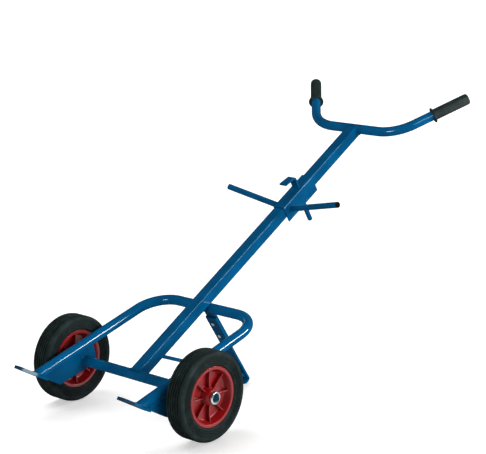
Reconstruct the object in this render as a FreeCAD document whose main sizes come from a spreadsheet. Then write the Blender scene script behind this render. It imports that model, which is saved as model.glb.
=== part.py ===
import FreeCAD, Part
import math
import os
import types

import Sketcher

# Two-wheeled drum trolley, parked on its tyres and its rear stand.
# X runs along the axle, Y runs from the toes back to the grips, Z is up.
# All lengths are millimetres and all angles degrees.

Vector = FreeCAD.Vector
Placement = FreeCAD.Placement
Rotation = FreeCAD.Rotation

SIZES = {
    # Wheels
    "wheel_radius": 125.0,            # tread to axle centre
    "tyre_width": 60.0,
    "tyre_shoulder": 9.0,             # rounding between tread and side wall
    "tyre_bead": 5.0,                 # bevel where the side wall meets the rim
    "tread_groove_width": 4.0,
    "tread_groove_depth": 3.0,
    "side_groove_width": 2.2,
    "side_groove_depth": 1.4,
    "side_groove_inset": 8.0,         # first side groove, out from the bead
    "side_groove_pitch": 5.0,
    "rim_radius": 84.0,
    "rim_width": 54.0,
    "rim_lip": 7.5,                   # radial thickness of the outer ring
    "rim_web": 6.0,                   # disc between hub and ring
    "rim_rib_thickness": 3.6,
    "rim_rib_fall": 8.0,              # how far the ribs lie below the ring's edge
    "hub_radius": 24.0,
    "hub_length": 59.0,
    "bush_radius": 14.0,
    "bush_length": 22.0,
    # Axle
    "axle_radius": 10.0,
    "axle_tube_radius": 15.0,
    "axle_tube_clearance": 0.3,       # tube bore over the axle
    "spacer_radius": 14.5,
    "spacer_length": 19.2,            # between side plate and wheel hub
    "washer_radius": 17.0,
    "washer_thickness": 3.0,
    "cap_radius": 18.5,
    "cap_height": 7.5,
    "cap_wall": 1.6,
    "cap_rounding": 4.0,
    "axle_stub": 3.6,                 # axle end beyond the outer washer
    # Running and seating gaps
    "running_clearance": 0.05,        # axle in its bushes, pin in its cam
    "seat_gap": 0.04,                 # pieces pushed one into the other
    "weld_gap": 0.1,                  # root gap of the welded joints
    "end_play": 0.3,                  # wheel hub along the axle, each side
    # Pole
    "pole_side": 35.0,
    "pole_wall": 2.5,
    "pole_corner": 3.0,
    "pole_angle": 30.8,               # above the floor, parked
    "pole_foot": 4.0,                 # pole's lower end above the axle centre
    "pole_horn": -6.0,                # pole's upper end past the handlebar centre
    # Handlebar
    "bar_radius": 15.0,
    "bar_wall": 2.5,
    "bar_distance": 1136.0,           # axle to crossbar along the pole
    "bar_half_width": 157.0,          # centre plane to the corner of the bend
    "bar_bend_radius": 130.0,
    "arm_splay": 35.5,                # arms from the pole's direction
    "arm_length": 253.0,              # corner of the bend to the grip's end
    "grip_length": 123.5,
    "grip_radius": 18.0,
    "grip_end_wall": 6.0,
    "grip_end_rounding": 7.0,
    "grip_flange_radius": 24.0,
    "grip_flange_thickness": 6.0,
    # Cradle bow
    "bow_radius": 15.0,
    "bow_wall": 2.5,
    "bow_angle": 15.8,                # legs above the floor
    "bow_height": 51.5,               # legs above the axle, square to them
    "bow_half_width": 203.0,
    "bow_bend_radius": 88.0,
    # Toes and side plates
    "toe_angle": 29.2,                # toes above the floor, pointing forward
    "toe_depth": 94.0,                # sole below the axle, square to it
    "toe_thickness": 9.0,
    "toe_width": 30.0,
    "toe_length": 111.0,
    "toe_bearing": 52.0,              # tip to where the bearing face ends
    "toe_reach": 242.0,               # tip ahead of the axle, along the sole
    "toe_corner": 6.0,
    "plate_thickness": 6.0,
    "plate_offset": 5.0,              # inner face outside the leg's centre line
    "plate_sole_step": 4.0,           # sole of the plate above the toe's sole
    "plate_sole_end": 60.0,           # rear end of that sole, ahead of the axle
    "plate_tail": 46.0,               # rear edge behind the axle
    "plate_tail_drop": 13.0,
    "plate_tail_lean": 11.0,
    "plate_corner": 9.0,
    # Stand
    "stand_width": 40.0,
    "stand_thickness": 6.0,
    "stand_tilt": 3.2,                # from square to the pole
    "stand_lead": 8.0,                # leg's middle plane ahead of the cross run's axis
    "stand_top": 50.0,                # leg's upper end below the pole
    "foot_length": 19.0,              # lip bent forward at the leg's lower end, under it
    "foot_bend": 2.0,
    "bracket_thickness": 6.0,
    "bracket_length": 142.0,
    "bolt_drop": 74.0,                # upper bolt below the pole
    "bolt_pitch": 51.0,
    "bolt_radius": 3.0,
    "bolt_hole_radius": 3.3,
    "bolt_head_width": 10.0,          # across the flats
    "bolt_head_height": 4.0,
    "bolt_point": 2.0,                # thread end past the nut
    "nut_height": 5.0,
    "brace_width": 25.0,
    "brace_thickness": 10.0,
    "brace_start": 98.0,              # along the pole from the axle
    "brace_rise": 29.0,               # lower end above the leg's foot
    # Sliding clamp
    "sleeve_start": 717.0,            # lower end along the pole from the axle
    "sleeve_length": 154.0,
    "sleeve_wall": 3.0,
    "sleeve_clearance": 0.5,
    "sleeve_tail": 15.5,              # cheeks past the pole's rear face
    "sleeve_bend": 4.5,
    "cross_bar_radius": 4.0,
    "cross_bar_inset": 14.0,
    "hook_position": 94.0,           # neck's lower face above the sleeve's end
    "hook_width": 26.0,
    "hook_thickness": 5.0,
    "hook_height": 41.0,              # neck out from the sleeve's web
    "hook_lip": 44.0,
    "hook_flare": 7.0,
    "hook_bend": 3.0,                 # inner radius
    "clamp_arm_radius": 9.0,
    "clamp_arm_wall": 2.0,
    "clamp_arm_position": 31.0,       # above the sleeve's end
    "clamp_arm_reach": 213.0,         # centre plane to the arm's end
    "clamp_arm_setback": 7.0,         # root behind the pole's centre
    "clamp_arm_sweep": 14.0,
    "plug_flange": 2.5,
    "plug_shank": 14.0,
    "lever_position": 99.0,           # pivot above the sleeve's end
    "lever_radius": 7.5,
    "lever_length": 84.0,
    "lever_rounding": 4.0,
    "cam_radius": 8.0,
    "cam_width": 26.0,
    "cam_offset": 1.2,                # cam centre off its pivot, each way
    "cam_gap": 0.3,                   # cam to pole, parked
    "lever_pin_radius": 3.0,
}

# Counts and shares of the sizes above
RIB_COUNT = 8
TREAD_GROOVES = 5
SIDE_GROOVES = 4
FULL_TURN = 360.0
QUARTER_TURN = 90.0
HEXAGON_SIDES = 6
CAP_POCKET_SHARE = 0.62
CAP_POCKET_DEPTH_SHARE = 0.3
CAP_BEVEL_SHARE = 0.5

doc = FreeCAD.newDocument("drum_trolley")
sheet = doc.addObject("Spreadsheet::Sheet", "Sizes")
for row, (alias, number) in enumerate(SIZES.items(), start=1):
    sheet.set(f"A{row}", alias)
    sheet.set(f"B{row}", str(number))
    sheet.setAlias(f"B{row}", alias)
doc.recompute()
s = types.SimpleNamespace(**{alias: float(sheet.get(alias)) for alias in SIZES})

X_AXIS = Vector(1, 0, 0)
Y_AXIS = Vector(0, 1, 0)
Z_AXIS = Vector(0, 0, 1)
SIDES = {"left": -1, "right": 1}
pieces = []


def sine(angle):
    return math.sin(math.radians(angle))


def cosine(angle):
    return math.cos(math.radians(angle))


def tangent(angle):
    return math.tan(math.radians(angle))


def turned(angle, origin=Vector()):
    """Frame turned about X, with its origin moved first."""
    return Placement(origin, Rotation(X_AXIS, angle))


def meet(point, direction, other, other_direction):
    """Crossing of two lines in a plane, each a point and a direction."""
    cross = direction[0] * other_direction[1] - direction[1] * other_direction[0]
    gap = (other[0] - point[0], other[1] - point[1])
    along = (gap[0] * other_direction[1] - gap[1] * other_direction[0]) / cross
    return (point[0] + along * direction[0], point[1] + along * direction[1])


# Sizes that follow from the ones above
pole_half = s.pole_side / 2
plate_inner = s.bow_half_width + s.plate_offset
plate_outer = plate_inner + s.plate_thickness
spacer_outer = plate_outer + s.spacer_length
hub_inner = spacer_outer + s.end_play
hub_outer = hub_inner + s.hub_length
half_track = (hub_inner + hub_outer) / 2
washer_inner = hub_outer + s.end_play
cap_inner = washer_inner + s.washer_thickness
axle_end = cap_inner + s.axle_stub
web_outer = pole_half + s.sleeve_clearance + s.sleeve_wall
cheek_inner = pole_half + s.sleeve_clearance
sleeve_end = s.sleeve_start + s.sleeve_length
sleeve_rear = pole_half + s.sleeve_tail
overrun = s.wheel_radius

# The origin is under the middle of the part's box: the toe tips are its front
# and the rounded ends of the grips its rear.
arm_lift = cosine(s.arm_splay) * cosine(s.pole_angle)
toe_front = s.toe_reach * cosine(s.toe_angle) + s.toe_depth * sine(s.toe_angle)
grip_ring = s.grip_radius - s.grip_end_rounding
grip_rear = (
    s.bar_distance * cosine(s.pole_angle)
    + (s.arm_length - s.grip_end_rounding) * arm_lift
    + grip_ring * math.sqrt(1 - arm_lift ** 2)
    + s.grip_end_rounding
)
axle_y = (toe_front - grip_rear) / 2

AXLE = Placement(Vector(0, axle_y, s.wheel_radius), Rotation())
POLE = AXLE * turned(s.pole_angle - QUARTER_TURN)
BOW = AXLE * turned(s.bow_angle) * Placement(Vector(0, 0, s.bow_height), Rotation())
TOE = AXLE * turned(-s.toe_angle)

# The bow's cross run lies against the pole's rear face.
bow_to_pole = s.pole_angle - s.bow_angle
cross_rear = pole_half + s.weld_gap + s.bow_radius
bow_end = (cross_rear + s.bow_height * cosine(bow_to_pole)) / sine(bow_to_pole)
cross_along = bow_end * cosine(bow_to_pole) + s.bow_height * sine(bow_to_pole)

# The stand hangs from that cross run: the leg's middle plane passes a little ahead of the run's axis.
STAND = POLE * turned(s.stand_tilt, Vector(0, pole_half, cross_along - s.stand_lead))
stand_front = -s.stand_thickness / 2
stand_rear = s.stand_thickness / 2


def origin_plane(body, role):
    return next(item for item in body.Origin.OriginFeatures if item.Role == role)


def new_body(label, placement):
    body = doc.addObject("PartDesign::Body", label)
    body.Placement = placement
    pieces.append(body)
    return body


def new_sketch(body, name, role):
    sketch = body.newObject("Sketcher::SketchObject", f"{body.Label}_{name}")
    sketch.AttachmentSupport = [(origin_plane(body, role), "")]
    sketch.MapMode = "FlatFace"
    return sketch


def draw_circle(sketch, expression, centre=(0, 0)):
    """Circle whose radius follows the sheet."""
    index = sketch.addGeometry(Part.Circle(Vector(*centre, 0), Z_AXIS, 1))
    if centre == (0, 0):
        sketch.addConstraint(Sketcher.Constraint("Coincident", index, 3, -1, 1))
    else:
        sketch.addConstraint(Sketcher.Constraint("DistanceX", -1, 1, index, 3, centre[0]))
        sketch.addConstraint(Sketcher.Constraint("DistanceY", -1, 1, index, 3, centre[1]))
    radius = sketch.addConstraint(Sketcher.Constraint("Radius", index, 1))
    sketch.setExpression(f"Constraints[{radius}]", expression)


def draw_outline(sketch, corners, closed=True):
    """Straight runs between corners, each corner an (x, y) or an (x, y, radius) that rounds it."""
    count = len(corners)
    points = [Vector(corner[0], corner[1], 0) for corner in corners]
    arrive, leave, middle = [], [], []
    for index, corner in enumerate(corners):
        radius = corner[2] if len(corner) > 2 else 0
        here = points[index]
        if radius == 0:
            arrive.append(here)
            leave.append(here)
            middle.append(None)
            continue
        back = (points[index - 1] - here).normalize()
        ahead = (points[(index + 1) % count] - here).normalize()
        half = back.getAngle(ahead) / 2
        centre = here + (back + ahead).normalize() * (radius / math.sin(half))
        arrive.append(here + back * (radius / math.tan(half)))
        leave.append(here + ahead * (radius / math.tan(half)))
        middle.append(centre + (here - centre).normalize() * radius)
    ends = []
    for index in range(count):
        if middle[index] is not None:
            arc = Part.Arc(arrive[index], middle[index], leave[index])
            turn = (middle[index] - arrive[index]).cross(leave[index] - middle[index]).z
            ends.append((sketch.addGeometry(arc), 1, 2) if turn > 0 else (sketch.addGeometry(arc), 2, 1))
        if index < count - 1 or closed:
            line = Part.LineSegment(leave[index], arrive[(index + 1) % count])
            ends.append((sketch.addGeometry(line), 1, 2))
    for first, second in zip(ends, ends[1:] + (ends[:1] if closed else [])):
        sketch.addConstraint(Sketcher.Constraint("Coincident", first[0], first[2], second[0], second[1]))


def pad(body, sketch, length, symmetric=False):
    feature = body.newObject("PartDesign::Pad", f"{sketch.Label}_pad")
    feature.Profile = sketch
    feature.SideType = "Symmetric" if symmetric else "One side"
    feature.setExpression("Length", length)
    return feature


def trim(body, sketch):
    """Cut right through the body, both ways from the sketch, and check that it cut."""
    doc.recompute()
    before = body.Shape.Volume
    feature = body.newObject("PartDesign::Pocket", f"{sketch.Label}_trim")
    feature.Profile = sketch
    feature.SideType = "Symmetric"
    feature.Length = 2 * overrun
    doc.recompute()
    if not body.Shape.Volume < before:
        raise RuntimeError(f"{sketch.Label} cuts nothing")


def slab(label, placement, outline, width, offset="0"):
    """Flat piece cut to an outline in its frame's YZ plane, padded along X."""
    body = new_body(label, placement)
    sketch = new_sketch(body, "outline", "YZ_Plane")
    sketch.setExpression("AttachmentOffset.Base.z", offset)
    draw_outline(sketch, outline)
    pad(body, sketch, width, symmetric=offset == "0")
    return body


def turned_piece(label, placement, outline):
    """Piece turned about its frame's X axis, from an outline of (x, radius) corners."""
    body = new_body(label, placement)
    sketch = new_sketch(body, "section", "XY_Plane")
    draw_outline(sketch, outline)
    feature = body.newObject("PartDesign::Revolution", f"{label}_turn")
    feature.Profile = sketch
    feature.ReferenceAxis = (sketch, ["H_Axis"])
    feature.Angle = FULL_TURN
    return body


def ring(label, placement, start, end, bore, radius):
    return turned_piece(label, placement, [(start, bore), (end, bore), (end, radius), (start, radius)])


def bent_tube(label, placement, role, route, radius, bore):
    """Round tube bent along a route of straight runs and tangent arcs."""
    body = new_body(label, placement)
    path = new_sketch(body, "route", role)
    draw_outline(path, route, closed=False)
    section = body.newObject("Sketcher::SketchObject", f"{label}_section")
    section.AttachmentSupport = [(path, "Vertex1"), (path, "Edge1")]
    section.MapMode = "NormalToEdge"
    draw_circle(section, radius)
    draw_circle(section, bore)
    doc.recompute()
    feature = body.newObject("PartDesign::AdditivePipe", f"{label}_pipe")
    feature.Profile = section
    feature.Spine = path
    return body


def side_frame(side):
    """Axle frame for a wheel: its local +X points away from the trolley."""
    if side > 0:
        return AXLE
    return AXLE * Placement(Vector(), Rotation(Z_AXIS, FULL_TURN / 2))


def build_pole():
    body = new_body("central_pole", POLE)
    section = new_sketch(body, "section", "XY_Plane")
    section.setExpression("AttachmentOffset.Base.z", "Sizes.pole_foot")
    inner = pole_half - s.pole_wall
    inner_corner = s.pole_corner - s.pole_wall
    for half, corner in ((pole_half, s.pole_corner), (inner, inner_corner)):
        draw_outline(section, [(x * half, y * half, corner) for x, y in ((-1, -1), (1, -1), (1, 1), (-1, 1))])
    pad(body, section, "Sizes.bar_distance + Sizes.pole_horn - Sizes.pole_foot")
    foot = new_sketch(body, "foot", "YZ_Plane")
    draw_circle(foot, "Sizes.axle_tube_radius + Sizes.weld_gap")
    trim(body, foot)
    saddle = new_sketch(body, "saddle", "YZ_Plane")
    draw_circle(saddle, "Sizes.bar_radius + Sizes.weld_gap", (0, s.bar_distance))
    trim(body, saddle)


def build_handlebar():
    bar_end = s.arm_length - s.grip_end_wall - s.seat_gap
    corner = (s.bar_half_width, s.bar_distance)
    end = (corner[0] + bar_end * sine(s.arm_splay), corner[1] + bar_end * cosine(s.arm_splay))
    route = [
        (-end[0], end[1]),
        (-corner[0], corner[1], s.bar_bend_radius),
        (corner[0], corner[1], s.bar_bend_radius),
        end,
    ]
    bent_tube("handlebar", POLE, "XZ_Plane", route, "Sizes.bar_radius", "Sizes.bar_radius - Sizes.bar_wall")


def build_grips():
    bore = s.bar_radius + s.seat_gap
    outline = [
        (0, bore),
        (s.grip_length - s.grip_end_wall, bore),
        (s.grip_length - s.grip_end_wall, 0),
        (s.grip_length, 0),
        (s.grip_length, s.grip_radius, s.grip_end_rounding),
        (s.grip_flange_thickness, s.grip_radius),
        (s.grip_flange_thickness, s.grip_flange_radius),
        (0, s.grip_flange_radius),
    ]
    start = s.arm_length - s.grip_length
    for name, side in SIDES.items():
        along = Vector(side * sine(s.arm_splay), 0, cosine(s.arm_splay))
        corner = Vector(side * s.bar_half_width, 0, s.bar_distance)
        frame = Placement(corner + along * start, Rotation(X_AXIS, along))
        turned_piece(f"{name}_grip", POLE * frame, outline)


def build_bow():
    leg_front = -s.toe_reach
    route = [
        (-s.bow_half_width, leg_front),
        (-s.bow_half_width, bow_end, s.bow_bend_radius),
        (s.bow_half_width, bow_end, s.bow_bend_radius),
        (s.bow_half_width, leg_front),
    ]
    body = bent_tube("cradle_bow", BOW, "XY_Plane", route, "Sizes.bow_radius", "Sizes.bow_radius - Sizes.bow_wall")
    # The leg ends are cut to sit on the toes' upper faces.
    into_bow = BOW.inverse() * TOE
    toe_top = s.toe_thickness + s.weld_gap - s.toe_depth
    cut = [
        into_bow.multVec(Vector(0, y, z))
        for y, z in (
            (-s.toe_reach - overrun, toe_top),
            (s.toe_length - s.toe_reach, toe_top),
            (s.toe_length - s.toe_reach, toe_top - overrun),
            (-s.toe_reach - overrun, toe_top - overrun),
        )
    ]
    sketch = new_sketch(body, "leg_ends", "YZ_Plane")
    draw_outline(sketch, [(point.y, point.z) for point in cut])
    feature = body.newObject("PartDesign::Pocket", "cradle_bow_leg_cut")
    feature.Profile = sketch
    feature.SideType = "Symmetric"
    feature.setExpression("Length", "4 * Sizes.bow_half_width")


def build_toes():
    """Flat bars in two stretches: the bearing face ahead of the leg, and the root that the leg stands on."""
    half = s.toe_width / 2
    tip, heel = -s.toe_reach, s.toe_length - s.toe_reach
    split = tip + s.toe_bearing
    bearing = [(-half, tip, s.toe_corner), (half, tip, s.toe_corner), (half, split), (-half, split)]
    root = [(-half, split), (half, split), (half, heel), (-half, heel)]
    for name, side in SIDES.items():
        shift = Placement(Vector(side * s.bow_half_width, 0, -s.toe_depth), Rotation())
        body = new_body(f"{name}_toe", TOE * shift)
        for stretch, outline in (("bearing", bearing), ("root", root)):
            sketch = new_sketch(body, stretch, "XY_Plane")
            draw_outline(sketch, outline)
            pad(body, sketch, "Sizes.toe_thickness").Refine = False


def build_side_plates():
    """Outline in the axle frame: along the toe, down to the sole, round the axle and up to the leg."""
    ahead = (cosine(s.toe_angle), -sine(s.toe_angle))
    up = (sine(s.toe_angle), cosine(s.toe_angle))

    def on_sole(reach, height):
        return (-reach * ahead[0] + (height - s.toe_depth) * up[0], -reach * ahead[1] + (height - s.toe_depth) * up[1])

    leg = (cosine(s.bow_angle), sine(s.bow_angle))
    side_drop = math.sqrt(s.bow_radius ** 2 - s.plate_offset ** 2) + s.weld_gap
    under_leg = s.bow_height - side_drop
    leg_point = (-under_leg * leg[1], under_leg * leg[0])
    toe_top = s.toe_thickness + s.weld_gap
    heel = s.toe_reach - s.toe_length - s.weld_gap
    tail = (s.plate_tail, -s.plate_tail_drop)
    outline = [
        meet(on_sole(0, toe_top), ahead, leg_point, leg),
        on_sole(heel, toe_top),
        on_sole(heel, s.plate_sole_step),
        on_sole(s.plate_sole_end, s.plate_sole_step) + (s.plate_corner,),
        tail + (s.plate_corner,),
        meet(tail, (-s.plate_tail_lean, s.plate_tail), leg_point, leg),
    ]
    for name, side in SIDES.items():
        start = "Sizes.bow_half_width + Sizes.plate_offset"
        offset = start if side > 0 else f"-({start} + Sizes.plate_thickness)"
        body = slab(f"{name}_side_plate", AXLE, outline, "Sizes.plate_thickness", offset)
        hole = new_sketch(body, "axle_hole", "YZ_Plane")
        draw_circle(hole, "Sizes.axle_radius + Sizes.seat_gap")
        doc.recompute()
        feature = body.newObject("PartDesign::Pocket", f"{name}_side_plate_bore")
        feature.Profile = hole
        feature.SideType = "Symmetric"
        feature.setExpression("Length", "4 * Sizes.bow_half_width")


def build_axle():
    ring("axle_tube", AXLE, -plate_inner, plate_inner, s.axle_radius + s.axle_tube_clearance, s.axle_tube_radius)
    turned_piece("axle", AXLE, [(-axle_end, 0), (axle_end, 0), (axle_end, s.axle_radius), (-axle_end, s.axle_radius)])
    bore = s.axle_radius + s.seat_gap
    pocket = s.cap_radius * CAP_POCKET_SHARE
    floor = s.cap_height * (1 - CAP_POCKET_DEPTH_SHARE)
    cap_outline = [
        (cap_inner, bore),
        (axle_end + s.seat_gap, bore),
        (axle_end + s.seat_gap, 0),
        (cap_inner + floor + s.cap_wall, 0),
        (cap_inner + floor + s.cap_wall, pocket - s.cap_wall * CAP_BEVEL_SHARE),
        (cap_inner + s.cap_height, pocket),
        (cap_inner + s.cap_height, s.cap_radius, s.cap_rounding),
        (cap_inner, s.cap_radius),
    ]
    for name, side in SIDES.items():
        frame = side_frame(side)
        ring(f"{name}_spacer", frame, plate_outer, spacer_outer, bore, s.spacer_radius)
        ring(f"{name}_washer", frame, washer_inner, cap_inner, bore, s.washer_radius)
        turned_piece(f"{name}_axle_cap", frame, cap_outline)


def tyre_outline():
    """Section of the tyre about the wheel's middle plane, with its tread and side grooves."""
    half = s.tyre_width / 2
    bore = s.rim_radius + s.seat_gap
    outer = s.wheel_radius
    side = [(half - s.tyre_bead, bore), (half, bore + s.tyre_bead)]
    for groove in range(SIDE_GROOVES):
        low = bore + s.side_groove_inset + groove * s.side_groove_pitch
        high = low + s.side_groove_width
        depth = half - s.side_groove_depth
        side += [(half, low), (depth, low), (depth, high), (half, high)]
    side.append((half, outer, s.tyre_shoulder))
    tread_half = half - s.tyre_shoulder
    pitch = 2 * tread_half / TREAD_GROOVES
    floor = outer - s.tread_groove_depth
    tread = []
    for groove in range(TREAD_GROOVES):
        middle = tread_half - pitch / 2 - pitch * groove
        right, left = middle + s.tread_groove_width / 2, middle - s.tread_groove_width / 2
        tread += [(right, outer), (right, floor), (left, floor), (left, outer)]
    mirrored = [(-corner[0],) + corner[1:] for corner in reversed(side)]
    return side + tread + mirrored


def build_wheels():
    half_rim, half_web, half_hub = s.rim_width / 2, s.rim_web / 2, s.hub_length / 2
    ring_inner = s.rim_radius - s.rim_lip
    seat = s.bush_radius + s.seat_gap
    shoulder = half_hub - s.bush_length
    clear = s.axle_radius + s.axle_tube_clearance
    rim_half = [
        (shoulder, clear),
        (shoulder, seat),
        (half_hub, seat),
        (half_hub, s.hub_radius),
        (half_web, s.hub_radius),
        (half_web, ring_inner),
        (half_rim, ring_inner),
        (half_rim, s.rim_radius),
    ]
    rim_outline = rim_half + [(-x, radius) for x, radius in reversed(rim_half)]
    rib_hub = (s.hub_radius - s.seat_gap, half_hub - s.rim_rib_fall)
    rib_ring = (ring_inner + s.rim_lip / 2, half_rim - s.rim_rib_fall)
    rib_outline = [
        (rib_hub[1], rib_hub[0]),
        (rib_ring[1], rib_ring[0]),
        (-rib_ring[1], rib_ring[0]),
        (-rib_hub[1], rib_hub[0]),
    ]
    for name, side in SIDES.items():
        frame = side_frame(side) * Placement(Vector(half_track, 0, 0), Rotation())
        turned_piece(f"{name}_tyre", frame, tyre_outline())
        body = turned_piece(f"{name}_rim", frame, rim_outline)
        sketch = new_sketch(body, "rib", "XY_Plane")
        draw_outline(sketch, rib_outline)
        rib = pad(body, sketch, "Sizes.rim_rib_thickness", symmetric=True)
        doc.recompute()
        pattern = body.newObject("PartDesign::PolarPattern", f"{name}_rim_ribs")
        pattern.Originals = [rib]
        pattern.Axis = (sketch, ["H_Axis"])
        pattern.Angle = FULL_TURN
        pattern.Occurrences = RIB_COUNT
        body.Tip = pattern
        bore = s.axle_radius + s.running_clearance
        ring(f"{name}_inner_bush", frame, -half_hub, -shoulder - s.seat_gap, bore, s.bush_radius)
        ring(f"{name}_outer_bush", frame, shoulder + s.seat_gap, half_hub, bore, s.bush_radius)


def stand_foot(rear):
    """Distance down the stand to the floor, on the plane that lies that far behind its frame's XY plane."""
    start = STAND.multVec(Vector(0, 0, rear)).z
    fall = STAND.Rotation.multVec(Y_AXIS).z
    return -start / fall


def build_stand():
    """Bracket coped to the underside of the bow's cross run, and the leg bolted to its front."""
    bracket_rear = stand_rear + s.bracket_thickness
    bracket = slab(
        "stand_bracket",
        STAND,
        [
            (s.bow_radius, stand_rear),
            (s.bracket_length, stand_rear),
            (s.bracket_length, bracket_rear),
            (s.bow_radius, bracket_rear),
        ],
        "Sizes.stand_width",
    )
    run = (STAND.inverse() * POLE).multVec(Vector(0, cross_rear, cross_along))
    cope = new_sketch(bracket, "cope", "YZ_Plane")
    draw_circle(cope, "Sizes.bow_radius + Sizes.weld_gap", (run.y, run.z))
    trim(bracket, cope)
    # The leg's lower end is bent square into a lip whose edge is cut level with the floor.
    lip_under = stand_foot(stand_rear - s.foot_length)
    lip_top = lip_under - s.stand_thickness
    floor_line = (stand_foot(0), 0)
    floor_run = (stand_foot(1) - stand_foot(0), 1)
    leg = slab(
        "stand_leg",
        STAND,
        [
            (s.stand_top, stand_rear),
            (lip_under, stand_rear, s.foot_bend + s.stand_thickness),
            (lip_under, stand_rear - s.foot_length),
            meet((lip_top, 0), (0, 1), floor_line, floor_run),
            (lip_top, stand_front, s.foot_bend),
            (s.stand_top, stand_front),
        ],
        "Sizes.stand_width",
    )
    for body in (bracket, leg):
        holes = new_sketch(body, "bolt_holes", "XY_Plane")
        for drop in (s.bolt_drop, s.bolt_drop + s.bolt_pitch):
            draw_circle(holes, "Sizes.bolt_hole_radius", (0, drop))
        trim(body, holes)


def build_brace():
    """Flat bar in the pole's frame from the pole's rear face to the foot of the stand."""
    into_pole = POLE.inverse() * STAND
    face = pole_half + s.weld_gap
    lower = into_pole.multVec(Vector(0, stand_foot(stand_front) - s.brace_rise, stand_front - s.weld_gap))
    down_stand = into_pole.Rotation.multVec(Y_AXIS)
    run = Vector(0, lower.y - face, lower.z - s.brace_start).normalize()
    side = Vector(0, -run.z, run.y) * (s.brace_thickness / 2)
    outline = []
    for edge in (side, side * -1):
        point = (face + edge.y, s.brace_start + edge.z)
        at_pole = meet(point, (run.y, run.z), (face, 0), (0, 1))
        at_stand = meet(point, (run.y, run.z), (lower.y, lower.z), (down_stand.y, down_stand.z))
        outline.append((at_pole, at_stand))
    (first_pole, first_stand), (second_pole, second_stand) = outline
    slab("stand_brace", POLE, [first_pole, first_stand, second_stand, second_pole], "Sizes.brace_width")


def fastener_group(label, make_one):
    """One node of separate solids, one at each bolt place."""
    members = []
    for drop in (s.bolt_drop, s.bolt_drop + s.bolt_pitch):
        members.append(make_one(f"{label}_{len(members)}", Vector(0, drop, 0)))
    group = doc.addObject("Part::Compound", label)
    group.Links = members
    pieces.append(group)


def hexagon(name, height, place):
    prism = doc.addObject("Part::Prism", name)
    prism.Polygon = HEXAGON_SIDES
    prism.setExpression("Circumradius", "Sizes.bolt_head_width / sqrt(3)")
    prism.setExpression("Height", height)
    prism.Placement = place
    return prism


def shank(name, length, place):
    cylinder = doc.addObject("Part::Cylinder", name)
    cylinder.setExpression("Radius", "Sizes.bolt_radius")
    cylinder.setExpression("Height", length)
    cylinder.Placement = place
    return cylinder


def build_fasteners():
    """Hexagon bolts through the leg from its front, with nuts behind the bracket."""
    grip = "Sizes.stand_thickness + Sizes.bracket_thickness"
    reach = f"Sizes.bolt_head_height + {grip} + Sizes.nut_height + Sizes.bolt_point"

    def bolt(name, place):
        frame = STAND * Placement(place + Vector(0, 0, stand_front - s.bolt_head_height), Rotation())
        joined = doc.addObject("Part::Fuse", name)
        joined.Base = hexagon(f"{name}_head", "Sizes.bolt_head_height", frame)
        joined.Tool = shank(f"{name}_shank", reach, frame)
        return joined

    def nut(name, place):
        frame = STAND * Placement(place + Vector(0, 0, stand_rear + s.bracket_thickness), Rotation())
        cut = doc.addObject("Part::Cut", name)
        cut.Base = hexagon(f"{name}_body", "Sizes.nut_height", frame)
        cut.Tool = shank(f"{name}_thread", "Sizes.nut_height", frame)
        cut.Tool.setExpression("Radius", "Sizes.bolt_radius + Sizes.seat_gap")
        return cut

    fastener_group("stand_bolts", bolt)
    fastener_group("stand_nuts", nut)


def build_sleeve():
    """Folded channel round the pole: web on the load side, cheeks reaching past the pole's rear."""
    body = new_body("clamp_sleeve", POLE)
    section = new_sketch(body, "section", "XY_Plane")
    section.setExpression("AttachmentOffset.Base.z", "Sizes.sleeve_start")
    inner_bend = s.sleeve_bend - s.sleeve_wall
    draw_outline(
        section,
        [
            (-web_outer, -web_outer, s.sleeve_bend),
            (web_outer, -web_outer, s.sleeve_bend),
            (web_outer, sleeve_rear),
            (cheek_inner, sleeve_rear),
            (cheek_inner, -cheek_inner, inner_bend),
            (-cheek_inner, -cheek_inner, inner_bend),
            (-cheek_inner, sleeve_rear),
            (-web_outer, sleeve_rear),
        ],
    )
    pad(body, section, "Sizes.sleeve_length")
    hole = new_sketch(body, "lever_pin_hole", "YZ_Plane")
    draw_circle(hole, "Sizes.lever_pin_radius + Sizes.seat_gap", lever_pivot())
    trim(body, hole)


def lever_pivot():
    """Place of the lever's pivot in the pole frame: (behind the centre, along)."""
    return (pole_half + s.cam_gap + s.cam_radius + s.cam_offset, s.sleeve_start + s.lever_position)


def build_cross_bars():
    """Bars welded between the cheeks that keep the sleeve on the pole."""
    behind = pole_half + s.sleeve_clearance + s.cross_bar_radius
    inset = s.cross_bar_inset
    for name, along in (("lower_cross_bar", s.sleeve_start + inset), ("upper_cross_bar", sleeve_end - inset)):
        frame = POLE * Placement(Vector(0, behind, along), Rotation())
        half = cheek_inner
        outline = [(-half, 0), (half, 0), (half, s.cross_bar_radius), (-half, s.cross_bar_radius)]
        turned_piece(name, frame, outline)


def build_hook():
    """Bent strip on the sleeve's web: a neck square to the pole and a lip turned down along it."""
    low = s.sleeve_start + s.hook_position
    high = low + s.hook_thickness
    root = -web_outer
    inner_corner = (root - s.hook_height + s.hook_thickness, low)
    lip = Vector(-s.hook_flare, -s.hook_lip, 0).normalize()
    outward = Vector(lip.y, -lip.x, 0) * s.hook_thickness
    inner_end = (inner_corner[0] - s.hook_flare, low - s.hook_lip)
    outer_end = (inner_end[0] + outward.x, inner_end[1] + outward.y)
    outer_corner = meet((0, high), (1, 0), outer_end, (lip.x, lip.y))
    outline = [
        (root, low),
        (root, high),
        outer_corner + (s.hook_bend + s.hook_thickness,),
        outer_end,
        inner_end,
        inner_corner + (s.hook_bend,),
    ]
    slab("rim_hook", POLE, outline, "Sizes.hook_width")


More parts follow.
